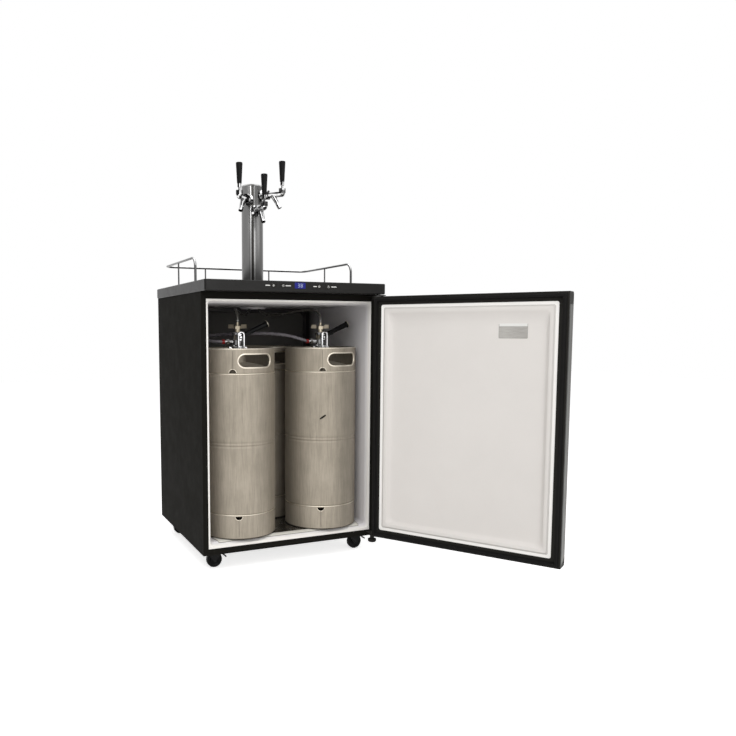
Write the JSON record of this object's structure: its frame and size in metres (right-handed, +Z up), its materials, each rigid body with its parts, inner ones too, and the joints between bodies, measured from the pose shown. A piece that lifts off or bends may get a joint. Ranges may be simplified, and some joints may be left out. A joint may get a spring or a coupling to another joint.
{
  "type": "kegerator",
  "caption": "Black keg cooler on casters with its door open, kegs inside, a steel draught tower with taps and a chrome guard rail",
  "frame": {"origin": "on the floor under the centre of the bounding box, with the door standing open as in the picture", "axes": "+X to the right seen from the door side, +Y to the back, +Z up"},
  "size_m": [0.9208, 1.1312, 1.3405],
  "materials": {
    "black_steel": "satin black powder coat",
    "black_plastic": "fine matte grain",
    "gloss_black": "glossy moulded",
    "white_plastic": "smooth vacuum formed",
    "foam": "rigid foam with a black moulded border on the door",
    "zinc_steel": "zinc plated",
    "stainless": "brushed",
    "chrome_steel": "polished",
    "aluminium_block": "machined",
    "display_glass": "tinted window over a blue lamp",
    "black_rubber": "matte",
    "hose_plastic": "flexible tube"
  },
  "bodies": {
    "cabinet": {"cabinet_shell": "black_steel", "inner_liner": "white_plastic", "insulation": "foam", "base_pan": "zinc_steel", "back_panel": "black_steel", "back_wall_cover": "black_plastic", "floor_tray": "zinc_steel", "worktop": "black_plastic", "display_window": "display_glass", "guard_rail": "chrome_steel", "tower_column": "stainless", "tower_cap": "stainless", "tower_flange": "chrome_steel", "tower_duct": "white_plastic", "keg_left": "stainless", "keg_right": "stainless", "keg_rear": "stainless", "gas_manifold": "aluminium_block", "compressor": "black_steel", "top_hinge": "black_steel", "lower_hinge": "black_steel", "faucet_left": "chrome_steel", "faucet_middle": "chrome_steel", "faucet_right": "chrome_steel", "coupler_body_left": "stainless", "beer_line_left": "hose_plastic", "gas_hose_left": "hose_plastic", "coupler_body_right": "stainless", "beer_line_right": "hose_plastic", "gas_hose_right": "hose_plastic"},
    "door": {"door_skin": "stainless", "door_core": "foam", "door_liner": "white_plastic", "door_gasket": "black_rubber", "door_top_cap": "black_plastic", "door_bottom_cap": "black_plastic"},
    "tap_left": {"tap_lever_left": "chrome_steel", "tap_handle_left": "gloss_black"},
    "tap_middle": {"tap_lever_middle": "chrome_steel", "tap_handle_middle": "gloss_black"},
    "tap_right": {"tap_lever_right": "chrome_steel", "tap_handle_right": "gloss_black"},
    "coupler_handle_left": {"coupler_lever_left": "gloss_black"},
    "probe_left": {"coupler_probe_left": "stainless"},
    "coupler_handle_right": {"coupler_lever_right": "gloss_black"},
    "probe_right": {"coupler_probe_right": "stainless"},
    "fork_front_left": {"caster_fork_front_left": "zinc_steel"},
    "wheel_front_left": {"caster_wheel_front_left": "black_rubber"},
    "pedal_front_left": {"brake_pedal_front_left": "black_plastic"},
    "fork_front_right": {"caster_fork_front_right": "zinc_steel"},
    "wheel_front_right": {"caster_wheel_front_right": "black_rubber"},
    "pedal_front_right": {"brake_pedal_front_right": "black_plastic"},
    "fork_rear_left": {"caster_fork_rear_left": "zinc_steel"},
    "wheel_rear_left": {"caster_wheel_rear_left": "black_rubber"},
    "fork_rear_right": {"caster_fork_rear_right": "zinc_steel"},
    "wheel_rear_right": {"caster_wheel_rear_right": "black_rubber"},
    "key_light_body": {"key_light": "black_plastic"},
    "key_cooler_body": {"key_cooler": "black_plastic"},
    "key_warmer_body": {"key_warmer": "black_plastic"},
    "key_power_body": {"key_power": "black_plastic"}
  },
  "joints": [
    {"name": "door_hinge", "type": "hinge", "parent": "cabinet", "child": "door", "pos_m": [0.13557, -0.04304, 0.47], "axis": [0, 0, 1], "range_deg": [-122.66, 12.34]},
    {"name": "tap_left_pull", "type": "hinge", "parent": "cabinet", "child": "tap_left", "pos_m": [-0.23539, 0.28586, 1.2255], "axis": [0.7431, -0.6691, 0], "range_deg": [0, 38]},
    {"name": "tap_middle_pull", "type": "hinge", "parent": "cabinet", "child": "tap_middle", "pos_m": [-0.15643, 0.25555, 1.188], "axis": [1, 0, 0], "range_deg": [0, 38]},
    {"name": "tap_right_pull", "type": "hinge", "parent": "cabinet", "child": "tap_right", "pos_m": [-0.07747, 0.28586, 1.2435], "axis": [0.7431, 0.6691, 0], "range_deg": [0, 38]},
    {"name": "coupler_handle_left_lift", "type": "hinge", "parent": "cabinet", "child": "coupler_handle_left", "pos_m": [-0.29843, 0.12355, 0.7331], "axis": [0, -1, 0], "range_deg": [0, 36]},
    {"name": "probe_left_rise", "type": "slide", "parent": "cabinet", "child": "probe_left", "axis": [0, 0, 1], "range_m": [0, 0.018], "deforming": ["beer_line_left"]},
    {"name": "coupler_handle_right_lift", "type": "hinge", "parent": "cabinet", "child": "coupler_handle_right", "pos_m": [-0.00243, 0.12355, 0.7331], "axis": [0, -1, 0], "range_deg": [0, 36]},
    {"name": "probe_right_rise", "type": "slide", "parent": "cabinet", "child": "probe_right", "axis": [0, 0, 1], "range_m": [0, 0.018], "deforming": ["beer_line_right"]},
    {"name": "swivel_front_left", "type": "hinge", "parent": "cabinet", "child": "fork_front_left", "pos_m": [-0.41043, 0.08156, 0.058], "axis": [0, 0, 1], "continuous": true},
    {"name": "roll_front_left", "type": "hinge", "parent": "fork_front_left", "child": "wheel_front_left", "pos_m": [-0.40243, 0.08156, 0.025], "axis": [0, 1, 0], "continuous": true},
    {"name": "brake_front_left", "type": "hinge", "parent": "fork_front_left", "child": "pedal_front_left", "pos_m": [-0.38343, 0.08156, 0.047], "axis": [0, 1, 0], "range_deg": [0, 12]},
    {"name": "swivel_front_right", "type": "hinge", "parent": "cabinet", "child": "fork_front_right", "pos_m": [0.09757, 0.08156, 0.058], "axis": [0, 0, 1], "continuous": true},
    {"name": "roll_front_right", "type": "hinge", "parent": "fork_front_right", "child": "wheel_front_right", "pos_m": [0.10557, 0.08156, 0.025], "axis": [0, 1, 0], "continuous": true},
    {"name": "brake_front_right", "type": "hinge", "parent": "fork_front_right", "child": "pedal_front_right", "pos_m": [0.12457, 0.08156, 0.047], "axis": [0, 1, 0], "range_deg": [0, 12]},
    {"name": "swivel_rear_left", "type": "hinge", "parent": "cabinet", "child": "fork_rear_left", "pos_m": [-0.41043, 0.50155, 0.058], "axis": [0, 0, 1], "continuous": true},
    {"name": "roll_rear_left", "type": "hinge", "parent": "fork_rear_left", "child": "wheel_rear_left", "pos_m": [-0.40243, 0.50155, 0.025], "axis": [0, 1, 0], "continuous": true},
    {"name": "swivel_rear_right", "type": "hinge", "parent": "cabinet", "child": "fork_rear_right", "pos_m": [0.09757, 0.50155, 0.058], "axis": [0, 0, 1], "continuous": true},
    {"name": "roll_rear_right", "type": "hinge", "parent": "fork_rear_right", "child": "wheel_rear_right", "pos_m": [0.10557, 0.50155, 0.025], "axis": [0, 1, 0], "continuous": true},
    {"name": "key_light_press", "type": "slide", "parent": "cabinet", "child": "key_light_body", "axis": [0, 1, 0], "range_m": [0, 0.0008], "stiffness_N_per_m": 1500, "springref_m": -0.0002},
    {"name": "key_cooler_press", "type": "slide", "parent": "cabinet", "child": "key_cooler_body", "axis": [0, 1, 0], "range_m": [0, 0.0008], "stiffness_N_per_m": 1500, "springref_m": -0.0002},
    {"name": "key_warmer_press", "type": "slide", "parent": "cabinet", "child": "key_warmer_body", "axis": [0, 1, 0], "range_m": [0, 0.0008], "stiffness_N_per_m": 1500, "springref_m": -0.0002},
    {"name": "key_power_press", "type": "slide", "parent": "cabinet", "child": "key_power_body", "axis": [0, 1, 0], "range_m": [0, 0.0008], "stiffness_N_per_m": 1500, "springref_m": -0.0002}
  ],
  "couplings": [
    {"joint": "probe_left_rise", "follows": "coupler_handle_left_lift", "m_per_rad": 0.028648},
    {"joint": "probe_right_rise", "follows": "coupler_handle_right_lift", "m_per_rad": 0.028648}
  ]
}
